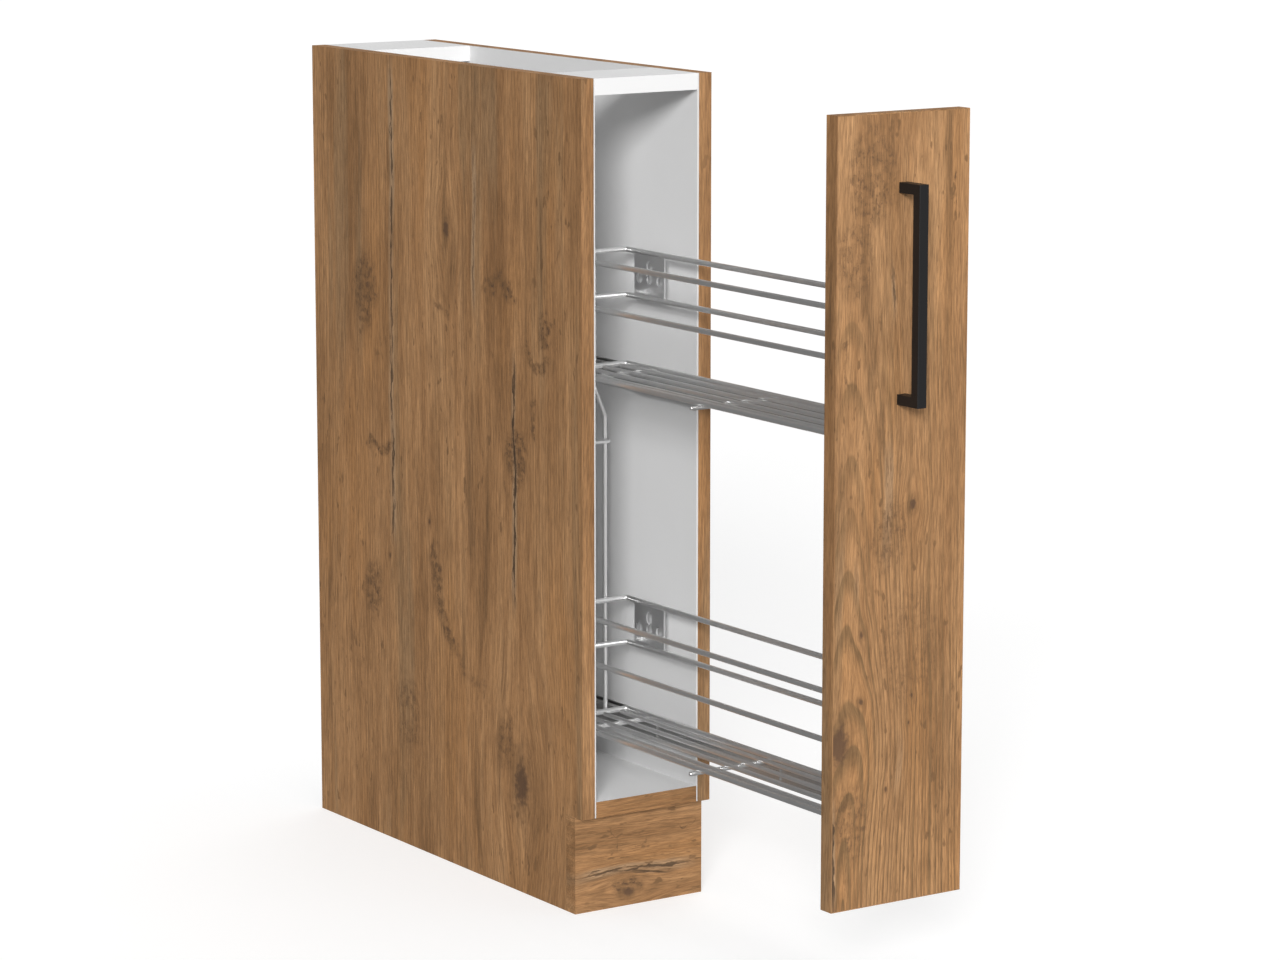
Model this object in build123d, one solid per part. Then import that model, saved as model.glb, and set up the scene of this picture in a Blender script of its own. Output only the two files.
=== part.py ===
"""Narrow base cabinet with a two-tier wire pull-out, shown open.

Drawing frame: X across, 0 on the centre plane; Y from the front edge of the carcass towards its
back; Z up from the floor. Everything is drawn there in millimetres, and write() moves each piece
along Y so that the finished part stands with the middle of its box on the origin.
"""

from build123d import *
import math
import os

# ---- carcass ----
WIDTH = 150.0
HEIGHT = 820.0
DEPTH = 516.0
BOARD = 16.0
PLINTH_HEIGHT = 98.0
PLINTH_SETBACK = 14.0
FRONT_RAIL_DEPTH = 80.0
REAR_RAIL_DEPTH = 96.0
BAND = 0.8                    # thickness of an edge band
BAND_WIDTH_SIDE = 14.0        # the band leaves a strip of the side panel's inner skin in view
BACK_THICKNESS = 2.8
BACK_INSET = 16.0             # from the rear edge to the groove of the back panel
GROOVE = 3.0
GROOVE_DEPTH = 6.0
GROOVE_START = 2.0            # above the bottom panel's underside

# ---- door and handle ----
DOOR_WIDTH = 146.0
DOOR_BOTTOM = 100.0
DOOR_TOP = 816.0
OPENING = 389.5               # carcass front to the door's rear face, as drawn
CLOSED_GAP = 2.0              # the same distance with the pull-out shut
HANDLE_LENGTH = 198.0
HANDLE_WIDTH = 10.0
HANDLE_THICKNESS = 9.3
HANDLE_PROJECTION = 30.0
HANDLE_CENTRE = 655.5
HANDLE_ROUNDING = 0.6

# ---- wire baskets ----
RAIL_WIRE = 2.7               # wire radius of the rails and floor frames
WIRE = 2.2                    # wire radius of everything else
WELD = 0.3                    # how far welded wires sink into each other
PLATE_WELD = 0.2              # how far a wire sinks into a plate
BASKET_HALF = 41.75           # centre plane to the centre of the side wires
BASKET_REAR = 97.5
WIRE_BEND = 5.0
LEVELS = {"lower": 176.7, "upper": 527.3}    # height of each basket's floor frame
MID_RAIL_RISE = 68.4
TOP_RAIL_RISE = 113.5
FLOOR_WIRE_PLACES = (-29.2, -9.8, 9.8, 29.2)
FLOOR_WIRE_END_GAP = 6.5      # from a floor wire's end to the frame wire
# Each cross wire: its place along Y, and how far left its tip reaches. Its right-hand end meets a
# carrier bracket.
CROSS_WIRES = ((63.0, 51.0), (-148.0, 51.0), (-355.0, 43.0))

# ---- hoops that join the two baskets ----
HOOP_HALF_LOW = 18.2
HOOP_HALF_HIGH = 5.5
HOOP_BEND_HEIGHT = 476.0
HOOP_SLANT = 22.0             # degrees from upright
HOOP_BEND = 5.4               # just under HOOP_HALF_HIGH, so the two top bends don't meet
CROSSBAR_HEIGHT = 451.0
CROSSBAR_HALF = 21.4

# ---- plates with keyholes ----
PLATE = 2.0
PLATE_LENGTH = 52.0
REAR_PLATE_CENTRE = 62.0
KEYHOLE_RISE = 86.3           # floor frame to the row of round holes
KEYHOLE_RADIUS = 5.0
KEYHOLE_PITCH = 17.6
SLOT_LOW = 10.4               # above the row of holes: centres of the slot's two ends
SLOT_HIGH = 13.4
WAIST = 3.2

# ---- ball-bearing slides, one under each basket, on the right-hand side panel ----
# From the basket towards the side panel: basket member, cage, middle member, cage, cabinet member.
# Every X below is measured from the face of the basket member.
SLIDE_DROP = 15.5             # floor frame down to the slide's middle
SLIDE_THICKNESS = 12.7
SLIDE_SETBACK = 3.0
SLIDE_LENGTH = 400.0          # of the middle and cabinet members
BASKET_MEMBER_LENGTH = 480.0
SHEET = 1.0
BASKET_MEMBER_HALF = 12.2
BASKET_MEMBER_DEPTH = 10.7
MIDDLE_HALF = 9.0
MIDDLE_SPAN = (2.3, 9.1)
RAIL_HALF = 5.8
RAIL_TOP = 4.9
BASE_HALF = 11.0
BALL_GAP = 2.2
BALL_CLEARANCE = 0.05
BALL_PITCH = 26.0
BALLS_IN_ROW = 6
CAGE_SHEET = 0.6
CAGE_LENGTH = 160.0
MIDDLE_SHARE = 0.5            # how far each part runs out, for each unit that the basket does
OUTER_CAGE_SHARE = 0.75
INNER_CAGE_SHARE = 0.25
ACCESS_HOLE_SHARES = (0.12, 0.88)
SLIDE_SCREW_SHARES = (0.08, 0.5, 0.92)
OUTER_CAGE_SPAN = (1.35, 8.7)
OUTER_BALLS = 5.9
INNER_CAGE_SPAN = (3.75, 9.3)
INNER_BALLS = 7.4
LUG_SHEET = 1.5
LUG_HALF = 13.0
LUG_CHAMFER = 4.0

# ---- fixings ----
FIT = 0.05                    # radial clearance of a pin in its hole
DOWEL_RADIUS = 4.0
DOWEL_LENGTH = 30.0
DOWEL_IN_SIDE = 12.0
CAM_RADIUS = 7.4
CAM_HEIGHT = 12.5
CAM_DISTANCE = 34.0           # from the side panel to the middle of the cam
CAM_BOLT_RADIUS = 3.0
CAM_THREAD_RADIUS = 2.5
CAM_THREAD_LENGTH = 11.0
CAM_BORE_RADIUS = 3.5
CAM_SLOT = (8.0, 1.2, 2.5)    # each arm of the cross slot: length, width, depth
SCREW_RADIUS = 2.0
SCREW_DEPTH = 12.0
SCREW_HOLE_SPARE = 1.0        # how much deeper than its screw a hole in the door is
HEAD_RADIUS = 4.0
HEAD_HEIGHT = 2.2
HEAD_ROUNDING = 0.8
RECESS_RADIUS = 1.2
RECESS_DEPTH = 1.3
SLIDE_SCREW_HEAD = 3.7
PLATE_SCREW_HEAD = 6.5
ACCESS_HOLE = 4.5
BRACKET_LEG = 20.0
BRACKET_HEIGHT = 30.0
BRACKET_MIDDLE = 49.0
BUMPER_RADIUS = 4.0
BUMPER_HEIGHT = 1.7
BUMPER_ASIDE = 66.0           # centre plane to the middle of a bumper
BUMPER_INSET = 20.0           # from the door's top and bottom

# ---- worked out from the sizes above ----
SIDE_OUT = WIDTH / 2
SIDE_IN = SIDE_OUT - BOARD
BOTTOM_TOP = PLINTH_HEIGHT + BOARD
RAIL_UNDER = HEIGHT - BOARD
PLINTH_REAR = PLINTH_SETBACK + BOARD
REAR_RAIL_FRONT = DEPTH - REAR_RAIL_DEPTH
GROOVE_REAR = DEPTH - BACK_INSET
GROOVE_FRONT = GROOVE_REAR - GROOVE
DOOR_REAR = -OPENING
DOOR_FRONT = DOOR_REAR - BOARD
HANDLE_FRONT = DOOR_FRONT - HANDLE_PROJECTION
FRONT_PLATE_REAR = DOOR_REAR + PLATE
BASKET_FRONT = FRONT_PLATE_REAR + RAIL_WIRE - PLATE_WELD
WELD_STEP = RAIL_WIRE + WIRE - WELD        # between the centres of a rail and a wire welded to it
THIN_WELD_STEP = 2 * WIRE - WELD
HOOP_PLANES = {
    "rear": BASKET_REAR + WELD_STEP,
    "front": BASKET_FRONT + WELD_STEP,
}
SLIDE_FACE = SIDE_IN - SLIDE_THICKNESS
TRAVEL_DRAWN = OPENING - CLOSED_GAP
Y_SHIFT = -(DEPTH + HANDLE_FRONT) / 2

# Places along Y of the knock-down fittings, and the height of the board that they join.
CAM_JOINTS = (
    (60.0, "bottom"), (440.0, "bottom"), (24.0, "top"), (445.0, "top"),
)
DOWEL_JOINTS = (
    (110.0, "bottom"), (390.0, "bottom"), (56.0, "top"), (475.0, "top"),
)
BOARD_UNDERSIDE = {"bottom": PLINTH_HEIGHT, "top": RAIL_UNDER}


# ---------------------------------------------------------------- helpers

def write(node, *shapes):
    """Writes one node's STEP file from one solid or a group of separate solids."""
    placed = [Pos(0, Y_SHIFT, 0) * shape for shape in shapes]
    solids = [solid for shape in placed for solid in shape.solids()]
    result = solids[0] if len(solids) == 1 else Compound(children=solids)
    result.label = node
    export_step(result, f"parts/{node}.step")


def block(low, high):
    """A box between two opposite corners."""
    size = [b - a for a, b in zip(low, high)]
    middle = [(a + b) / 2 for a, b in zip(low, high)]
    return Pos(*middle) * Box(*size)


def rod(start, end, radius):
    """A straight round bar from start to end."""
    run = Vector(*end) - Vector(*start)
    return extrude(Plane(origin=start, z_dir=run) * Circle(radius), run.length)


def round_rod(start, end, radius):
    """A round bar with well rounded ends."""
    bar = rod(start, end, radius)
    return fillet(bar.edges().filter_by(GeomType.CIRCLE), radius * 0.8)


def bent_wire(points, radius, bend, closed=False):
    """Round wire along straight runs joined by tangent bends."""
    path = FilletPolyline(*points, radius=bend, close=closed)
    return sweep(Plane(origin=path @ 0, z_dir=path % 0) * Circle(radius), path=path)


def mirror_x(shape):
    return mirror(shape, about=Plane.YZ)


def both_sides(shape):
    """The piece drawn on the right, and its mirror image on the left."""
    return [mirror_x(shape), shape]


def join_height(where):
    return BOARD_UNDERSIDE[where] + BOARD / 2


# ---------------------------------------------------------------- carcass

def dowel(y, where, clearance=0.0):
    """The right-hand dowel of a joint, from the side panel into the board's end."""
    z = join_height(where)
    start = SIDE_IN + DOWEL_IN_SIDE
    return rod((start, y, z), (start - DOWEL_LENGTH, y, z), DOWEL_RADIUS + clearance)


def cam_bolt(y, where):
    """Threaded into the side panel; its stem reaches the cam."""
    z = join_height(where)
    thread = rod((SIDE_IN + CAM_THREAD_LENGTH, y, z), (SIDE_IN, y, z), CAM_THREAD_RADIUS)
    stem_end = SIDE_IN - CAM_DISTANCE + CAM_RADIUS + FIT
    return thread + rod((SIDE_IN, y, z), (stem_end, y, z), CAM_BOLT_RADIUS)


def cam_bolt_bores(y, where):
    """The thread's hole in the side panel and the stem's bore in the board."""
    z = join_height(where)
    deep = SIDE_IN + CAM_THREAD_LENGTH
    thread = rod((deep, y, z), (SIDE_IN, y, z), CAM_THREAD_RADIUS + FIT)
    stem = rod((SIDE_IN, y, z), (SIDE_IN - CAM_DISTANCE, y, z), CAM_BORE_RADIUS)
    return thread, stem


def cam(y, where, clearance=0.0):
    """The eccentric disc, with a cross slot for the screwdriver when it isn't a bore."""
    x = SIDE_IN - CAM_DISTANCE
    low = BOARD_UNDERSIDE[where]
    disc = rod((x, y, low), (x, y, low + CAM_HEIGHT), CAM_RADIUS + clearance)
    if clearance:
        return disc
    length, width, depth = CAM_SLOT
    middle = Pos(x, y, low + depth / 2)
    return disc - middle * Box(length, width, depth) - middle * Box(width, length, depth)


def side_panel_right():
    board = block((SIDE_IN, BAND, 0), (SIDE_OUT, DEPTH, HEIGHT))
    board -= block((SIDE_IN, BAND, 0), (SIDE_OUT, PLINTH_REAR, PLINTH_HEIGHT))
    board -= block(
        (SIDE_IN, GROOVE_FRONT, PLINTH_HEIGHT + GROOVE_START),
        (SIDE_IN + GROOVE_DEPTH, GROOVE_REAR, RAIL_UNDER + GROOVE_DEPTH),
    )
    for y, where in DOWEL_JOINTS:
        board -= dowel(y, where, FIT)
    for y, where in CAM_JOINTS:
        board -= cam_bolt_bores(y, where)[0]
    z = BRACKET_MIDDLE
    y = PLINTH_REAR + BRACKET_LEG / 2
    return board - rod((SIDE_IN, y, z), (SIDE_IN + SCREW_DEPTH, y, z), SCREW_RADIUS + FIT)


def bored_board(low, high, where, places):
    """A board between the sides with the bores of the joints that lie in its depth."""
    board = block(low, high)
    for y, level in DOWEL_JOINTS:
        if level == where and places[0] < y < places[1]:
            for tool in both_sides(dowel(y, level, FIT)):
                board -= tool
    for y, level in CAM_JOINTS:
        if level == where and places[0] < y < places[1]:
            bores = cam(y, level, 2 * FIT) + cam_bolt_bores(y, level)[1]
            for tool in both_sides(bores):
                board -= tool
    return board


def bottom_panel():
    board = bored_board(
        (-SIDE_IN, BAND, PLINTH_HEIGHT), (SIDE_IN, DEPTH, BOTTOM_TOP), "bottom", (0, DEPTH)
    )
    return board - block(
        (-SIDE_IN, GROOVE_FRONT, BOTTOM_TOP - GROOVE_DEPTH), (SIDE_IN, GROOVE_REAR, BOTTOM_TOP)
    )


def top_rail_front():
    return bored_board(
        (-SIDE_IN, 0, RAIL_UNDER), (SIDE_IN, FRONT_RAIL_DEPTH, HEIGHT),
        "top", (0, FRONT_RAIL_DEPTH),
    )


def top_rail_rear():
    board = bored_board(
        (-SIDE_IN, REAR_RAIL_FRONT, RAIL_UNDER), (SIDE_IN, DEPTH, HEIGHT),
        "top", (REAR_RAIL_FRONT, DEPTH),
    )
    return board - block(
        (-SIDE_IN, GROOVE_FRONT, RAIL_UNDER), (SIDE_IN, GROOVE_REAR, RAIL_UNDER + GROOVE_DEPTH)
    )


def back_panel():
    play = 0.5
    half = SIDE_IN + GROOVE_DEPTH - play
    front = GROOVE_FRONT + (GROOVE - BACK_THICKNESS) / 2
    return block(
        (-half, front, BOTTOM_TOP - GROOVE_DEPTH + play),
        (half, front + BACK_THICKNESS, RAIL_UNDER + GROOVE_DEPTH - play),
    )


def plinth_screw_places():
    """Start point and direction of the two screws of the right-hand plinth bracket."""
    middle = PLINTH_REAR + BRACKET_LEG / 2
    in_side = ((SIDE_IN - PLATE, middle, BRACKET_MIDDLE), (1, 0, 0))
    in_plinth = ((SIDE_IN - BRACKET_LEG / 2, PLINTH_REAR + PLATE, BRACKET_MIDDLE), (0, -1, 0))
    return in_side, in_plinth


def screw(head_base, direction, length, head_radius=HEAD_RADIUS):
    """A pan-head screw: its head stands on head_base and its shank runs along direction."""
    base = Vector(*head_base)
    along = Vector(*direction)
    shank = rod(tuple(base), tuple(base + along * length), SCREW_RADIUS)
    top = base - along * HEAD_HEIGHT
    head = rod(tuple(base), tuple(top), head_radius)
    circles = head.edges().filter_by(GeomType.CIRCLE)
    rim = [edge for edge in circles if (edge.arc_center - top).length < FIT]
    recess = rod(tuple(top), tuple(top + along * RECESS_DEPTH), RECESS_RADIUS)
    return fillet(rim, HEAD_ROUNDING) + shank - recess


def plinth_board():
    board = block((-SIDE_OUT, PLINTH_SETBACK, 0), (SIDE_OUT, PLINTH_REAR, PLINTH_HEIGHT))
    x = SIDE_IN - BRACKET_LEG / 2
    z = BRACKET_MIDDLE
    hole = rod((x, PLINTH_REAR, z), (x, PLINTH_REAR - SCREW_DEPTH, z), SCREW_RADIUS + FIT)
    return board - hole - mirror_x(hole)


def plinth_bracket():
    """A sheet-metal angle in the corner behind the plinth board, right-hand side."""
    low = BRACKET_MIDDLE - BRACKET_HEIGHT / 2
    high = BRACKET_MIDDLE + BRACKET_HEIGHT / 2
    corner_y = PLINTH_REAR
    bracket = block((SIDE_IN - PLATE, corner_y, low), (SIDE_IN, corner_y + BRACKET_LEG, high))
    bracket += block((SIDE_IN - BRACKET_LEG, corner_y, low), (SIDE_IN, corner_y + PLATE, high))
    for start, along in plinth_screw_places():
        end = Vector(*start) + Vector(*along) * 2 * PLATE
        back = Vector(*start) - Vector(*along)
        bracket -= rod(tuple(back), tuple(end), SCREW_RADIUS + FIT)
    return bracket


def make_carcass():
    right = side_panel_right()
    for level in LEVELS.values():
        for _, y, z in slide_screw_starts(level):
            right -= rod((SIDE_IN, y, z), (SIDE_IN + SCREW_DEPTH, y, z), SCREW_RADIUS + FIT)
    write("side_panel_right", right)
    write("side_panel_left", mirror_x(side_panel_right()))
    write("bottom_panel", bottom_panel())
    write("top_rail_front", top_rail_front())
    write("top_rail_rear", top_rail_rear())
    write("back_panel", back_panel())
    write("plinth_board", plinth_board())

    side_band = block(
        (SIDE_OUT - BAND_WIDTH_SIDE, 0, PLINTH_HEIGHT), (SIDE_OUT, BAND, HEIGHT)
    )
    write("edge_bands_sides", *both_sides(side_band))
    write(
        "edge_band_bottom",
        block((-SIDE_IN, 0, PLINTH_HEIGHT), (SIDE_IN, BAND, BOTTOM_TOP)),
    )

    write("dowels", *[d for joint in DOWEL_JOINTS for d in both_sides(dowel(*joint))])
    write("cam_bolts", *[b for joint in CAM_JOINTS for b in both_sides(cam_bolt(*joint))])
    write("cam_locks", *[c for joint in CAM_JOINTS for c in both_sides(cam(*joint))])
    write("plinth_brackets", *both_sides(plinth_bracket()))
    screws = [screw(start, along, SCREW_DEPTH) for start, along in plinth_screw_places()]
    write("plinth_screws", *[s for one in screws for s in both_sides(one)])


# ---------------------------------------------------------------- slides

def slide_block(span, front, length, z0, z1):
    """A box of the slide: span is its X range from the slide's face."""
    x0, x1 = (SLIDE_FACE + x for x in span)
    return block((x0, front, z0), (x1, front + length, z1))


def channel(half, span, front, length, sheet=SHEET):
    """A U-shaped member that opens to the right: a web, and a flange at the top and bottom."""
    member = slide_block((span[0], span[0] + sheet), front, length, -half, half)
    member += slide_block(span, front, length, half - sheet, half)
    return member + slide_block(span, front, length, -half, sheet - half)


def slide_hole(span, y, radius):
    """A round cutter across the slide's middle line."""
    x0, x1 = (SLIDE_FACE + x for x in span)
    return rod((x0, y, 0), (x1, y, 0), radius)


def basket_member(run_out):
    """The visible channel, with lips that keep the balls in."""
    front = SLIDE_SETBACK - run_out
    end = BASKET_MEMBER_DEPTH
    length = BASKET_MEMBER_LENGTH
    inside = BASKET_MEMBER_HALF - SHEET
    member = channel(BASKET_MEMBER_HALF, (0, end), front, length)
    member += slide_block((end - SHEET, end), front, length, inside - SHEET, inside)
    return member + slide_block((end - SHEET, end), front, length, -inside, SHEET - inside)


def middle_member(run_out):
    front = SLIDE_SETBACK - run_out
    member = channel(MIDDLE_HALF, MIDDLE_SPAN, front, SLIDE_LENGTH)
    web = (MIDDLE_SPAN[0], MIDDLE_SPAN[0] + SHEET)
    for share in ACCESS_HOLE_SHARES:
        member -= slide_hole(web, front + share * SLIDE_LENGTH, ACCESS_HOLE)
    return member


def slide_screw_places():
    """Where the cabinet member is screwed to the side panel, along Y."""
    return [SLIDE_SETBACK + share * SLIDE_LENGTH for share in SLIDE_SCREW_SHARES]


def cabinet_member():
    """A hat-shaped rail on a flat base; its screws go in through holes in the hat."""
    base = (SLIDE_THICKNESS - SHEET, SLIDE_THICKNESS)
    member = channel(RAIL_HALF, (RAIL_TOP, base[0]), SLIDE_SETBACK, SLIDE_LENGTH)
    member += slide_block(base, SLIDE_SETBACK, SLIDE_LENGTH, -BASE_HALF, BASE_HALF)
    for y in slide_screw_places():
        member -= slide_hole((RAIL_TOP, RAIL_TOP + SHEET), y, ACCESS_HOLE)
        member -= slide_hole(base, y, SCREW_RADIUS + FIT)
    return member


def slide_screw_starts(level):
    """Where the heads of a slide's screws bear on the cabinet member."""
    return [(SIDE_IN - SHEET, y, level - SLIDE_DROP) for y in slide_screw_places()]


def cage(race, span, balls_at, run_out):
    """A U-shaped ball retainer, and its balls in one row above and one below; race is the
    height of the ball centres."""
    middle = SLIDE_SETBACK + SLIDE_LENGTH / 2 - run_out
    front = middle - CAGE_LENGTH / 2
    retainer = channel(race + CAGE_SHEET / 2, span, front, CAGE_LENGTH, CAGE_SHEET)
    radius = BALL_GAP / 2 - BALL_CLEARANCE
    x = SLIDE_FACE + balls_at
    balls = []
    for z in (-race, race):
        for number in range(BALLS_IN_ROW):
            y = middle + (number - (BALLS_IN_ROW - 1) / 2) * BALL_PITCH
            pocket = rod((x, y, z - CAGE_SHEET), (x, y, z + CAGE_SHEET), radius + BALL_CLEARANCE)
            retainer -= pocket
            balls.append(Pos(x, y, z) * Sphere(radius))
    return retainer, balls


def carrier_bracket(y, level):
    """A flat lug welded to the basket member; the end of a cross wire is welded to its face."""
    low = level - SLIDE_DROP - BASKET_MEMBER_HALF / 2
    x = SLIDE_FACE - LUG_SHEET
    lug = block((x, y - LUG_HALF, low), (SLIDE_FACE, y + LUG_HALF, level - WIRE))
    corners = lug.edges().filter_by(Axis.X).group_by(Axis.Z)[-1]
    return chamfer(corners, LUG_CHAMFER)


def make_slide(name, level):
    at = Pos(0, 0, level - SLIDE_DROP)
    write(f"{name}_slide_cabinet_member", at * cabinet_member())
    write(f"{name}_slide_middle_member", at * middle_member(TRAVEL_DRAWN * MIDDLE_SHARE))
    write(f"{name}_slide_basket_member", at * basket_member(TRAVEL_DRAWN))

    # The outer cage is the one beside the basket member, the inner one beside the cabinet member.
    run_out = TRAVEL_DRAWN * OUTER_CAGE_SHARE
    outer = cage(MIDDLE_HALF + BALL_GAP / 2, OUTER_CAGE_SPAN, OUTER_BALLS, run_out)
    run_out = TRAVEL_DRAWN * INNER_CAGE_SHARE
    inner = cage(RAIL_HALF + BALL_GAP / 2, INNER_CAGE_SPAN, INNER_BALLS, run_out)
    for which, (retainer, balls) in (("outer", outer), ("inner", inner)):
        write(f"{name}_slide_{which}_cage", at * retainer)
        write(f"{name}_slide_{which}_balls", *[at * ball for ball in balls])

    write(f"{name}_carrier_brackets", *[carrier_bracket(y, level) for y, _ in CROSS_WIRES])


# ---------------------------------------------------------------- baskets

def wire_loop(z):
    """A closed rectangle of wire, as wide and deep as the basket."""
    corners = (
        (-BASKET_HALF, BASKET_FRONT, z), (BASKET_HALF, BASKET_FRONT, z),
        (BASKET_HALF, BASKET_REAR, z), (-BASKET_HALF, BASKET_REAR, z),
    )
    return bent_wire(corners, RAIL_WIRE, WIRE_BEND, closed=True)


def keyhole_cutter():
    """Three round holes in a row, and a slot that opens into the middle one; drawn in XZ."""
    tools = [rod((x, -PLATE, 0), (x, 2 * PLATE, 0), KEYHOLE_RADIUS)
             for x in (-KEYHOLE_PITCH, 0, KEYHOLE_PITCH)]
    slot_ends = [rod((0, -PLATE, z), (0, 2 * PLATE, z), KEYHOLE_RADIUS)
                 for z in (SLOT_LOW, SLOT_HIGH)]
    between = block((-KEYHOLE_RADIUS, -PLATE, SLOT_LOW), (KEYHOLE_RADIUS, 2 * PLATE, SLOT_HIGH))
    neck = block((-WAIST / 2, -PLATE, 0), (WAIST / 2, 2 * PLATE, SLOT_LOW))
    cutter = tools[1] + slot_ends[0] + slot_ends[1] + between + neck
    return cutter, [tools[0], tools[2]]


def keyhole_plate():
    """The plate about X = 0 with its rear face at Y = 0 and Z = 0 at its row of holes."""
    low = MID_RAIL_RISE - KEYHOLE_RISE
    high = TOP_RAIL_RISE - KEYHOLE_RISE
    plate = block((-PLATE_LENGTH / 2, 0, low), (PLATE_LENGTH / 2, PLATE, high))
    cutter, holes = keyhole_cutter()
    return plate - cutter - holes[0] - holes[1]


def make_basket(name, level):
    write(f"{name}_basket_top_rail", wire_loop(level + TOP_RAIL_RISE))
    write(f"{name}_basket_mid_rail", wire_loop(level + MID_RAIL_RISE))
    write(f"{name}_basket_floor_frame", wire_loop(level))

    front = BASKET_FRONT + FLOOR_WIRE_END_GAP
    rear = BASKET_REAR - FLOOR_WIRE_END_GAP
    cross_z = level - WELD_STEP
    z = cross_z + THIN_WELD_STEP
    write(
        f"{name}_basket_floor_wires",
        *[round_rod((x, front, z), (x, rear, z), WIRE) for x in FLOOR_WIRE_PLACES],
    )
    right_end = SLIDE_FACE - LUG_SHEET + WELD / 2
    write(
        f"{name}_basket_cross_wires",
        *[
            round_rod((-reach, y, cross_z), (right_end, y, cross_z), WIRE)
            for y, reach in CROSS_WIRES
        ],
    )

    row = level + KEYHOLE_RISE
    plate = keyhole_plate()
    beside_wire = BASKET_HALF + RAIL_WIRE - PLATE_WELD
    rear_plate = Pos(beside_wire + PLATE, REAR_PLATE_CENTRE, row) * Rot(0, 0, 90) * plate
    write(f"{name}_basket_rear_plate", rear_plate)
    write(f"{name}_basket_door_plate", Pos(0, DOOR_REAR, row) * plate)


def hoop(y):
    """One wire, bent up from the lower basket, drawn in, and over the upper top rail."""
    rise = (HOOP_HALF_LOW - HOOP_HALF_HIGH) / math.tan(math.radians(HOOP_SLANT))
    foot = LEVELS["lower"] - RAIL_WIRE
    top = LEVELS["upper"] + TOP_RAIL_RISE + WIRE
    right = [
        (HOOP_HALF_LOW, y, foot),
        (HOOP_HALF_LOW, y, HOOP_BEND_HEIGHT),
        (HOOP_HALF_HIGH, y, HOOP_BEND_HEIGHT + rise),
        (HOOP_HALF_HIGH, y, top),
    ]
    left = [(-x, y_, z) for x, y_, z in reversed(right)]
    return bent_wire(right + left, WIRE, HOOP_BEND)


def make_hoops():
    for name, y in HOOP_PLANES.items():
        write(f"{name}_hoop", hoop(y))
        bar_y = y - THIN_WELD_STEP
        ends = ((-CROSSBAR_HALF, bar_y, CROSSBAR_HEIGHT), (CROSSBAR_HALF, bar_y, CROSSBAR_HEIGHT))
        write(f"{name}_hoop_crossbar", round_rod(*ends, WIRE))


# ---------------------------------------------------------------- door

def door_screw_starts():
    """Where the screws of both door plates bear, on the plates' rear faces."""
    return [(side * KEYHOLE_PITCH, FRONT_PLATE_REAR, level + KEYHOLE_RISE)
            for level in LEVELS.values() for side in (-1, 1)]


def handle_screw_heights():
    half = HANDLE_LENGTH / 2 - HANDLE_THICKNESS / 2
    return HANDLE_CENTRE - half, HANDLE_CENTRE + half


def door_panel():
    half = DOOR_WIDTH / 2 - BAND
    panel = block((-half, DOOR_FRONT, DOOR_BOTTOM + BAND), (half, DOOR_REAR, DOOR_TOP - BAND))
    for x, _, z in door_screw_starts():
        end = (x, DOOR_REAR - SCREW_DEPTH, z)
        panel -= rod((x, DOOR_REAR, z), end, SCREW_RADIUS + FIT)
    for z in handle_screw_heights():
        panel -= rod((0, DOOR_REAR, z), (0, DOOR_FRONT, z), SCREW_RADIUS + FIT)
    return panel


def door_bands():
    half = DOOR_WIDTH / 2
    side = block(
        (half - BAND, DOOR_FRONT, DOOR_BOTTOM + BAND), (half, DOOR_REAR, DOOR_TOP - BAND)
    )
    ends = [block((-half, DOOR_FRONT, z), (half, DOOR_REAR, z + BAND))
            for z in (DOOR_BOTTOM, DOOR_TOP - BAND)]
    return both_sides(side) + ends


def handle():
    """A square bow: an upright grip on two legs, with a threaded hole in each leg."""
    half = HANDLE_WIDTH / 2
    low = HANDLE_CENTRE - HANDLE_LENGTH / 2
    high = HANDLE_CENTRE + HANDLE_LENGTH / 2
    grip_rear = HANDLE_FRONT + HANDLE_THICKNESS
    bow = block((-half, HANDLE_FRONT, low), (half, DOOR_FRONT, high))
    bow -= block(
        (-half, grip_rear, low + HANDLE_THICKNESS), (half, DOOR_FRONT, high - HANDLE_THICKNESS)
    )
    bow = fillet(bow.edges().filter_by(Axis.Z).sort_by(Axis.Y)[0:2], HANDLE_ROUNDING)
    for z in handle_screw_heights():
        bow -= rod((0, DOOR_FRONT, z), (0, DOOR_FRONT - SCREW_DEPTH, z), SCREW_RADIUS + FIT)
    return bow


def make_door():
    write("door_panel", door_panel())
    write("door_edge_bands", *door_bands())
    write("handle", handle())
    length = BOARD + SCREW_DEPTH - SCREW_HOLE_SPARE
    heads = [(0, DOOR_REAR, z) for z in handle_screw_heights()]
    write("handle_screws", *[screw(head, (0, -1, 0), length) for head in heads])
    short = PLATE + SCREW_DEPTH - SCREW_HOLE_SPARE
    starts = door_screw_starts()
    write(
        "door_plate_screws",
        *[screw(start, (0, -1, 0), short, PLATE_SCREW_HEAD) for start in starts],
    )
    bumpers = [
        rod((x, DOOR_REAR, z), (x, DOOR_REAR + BUMPER_HEIGHT, z), BUMPER_RADIUS)
        for x in (-BUMPER_ASIDE, BUMPER_ASIDE)
        for z in (DOOR_BOTTOM + BUMPER_INSET, DOOR_TOP - BUMPER_INSET)
    ]
    write("door_bumpers", *bumpers)


def main():
    os.makedirs("parts", exist_ok=True)
    make_carcass()
    for name, level in LEVELS.items():
        make_slide(name, level)
        make_basket(name, level)
    starts = [start for level in LEVELS.values() for start in slide_screw_starts(level)]
    length = SHEET + SCREW_DEPTH
    write(
        "slide_screws",
        *[screw(start, (1, 0, 0), length, SLIDE_SCREW_HEAD) for start in starts],
    )
    make_hoops()
    make_door()


main()
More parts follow.
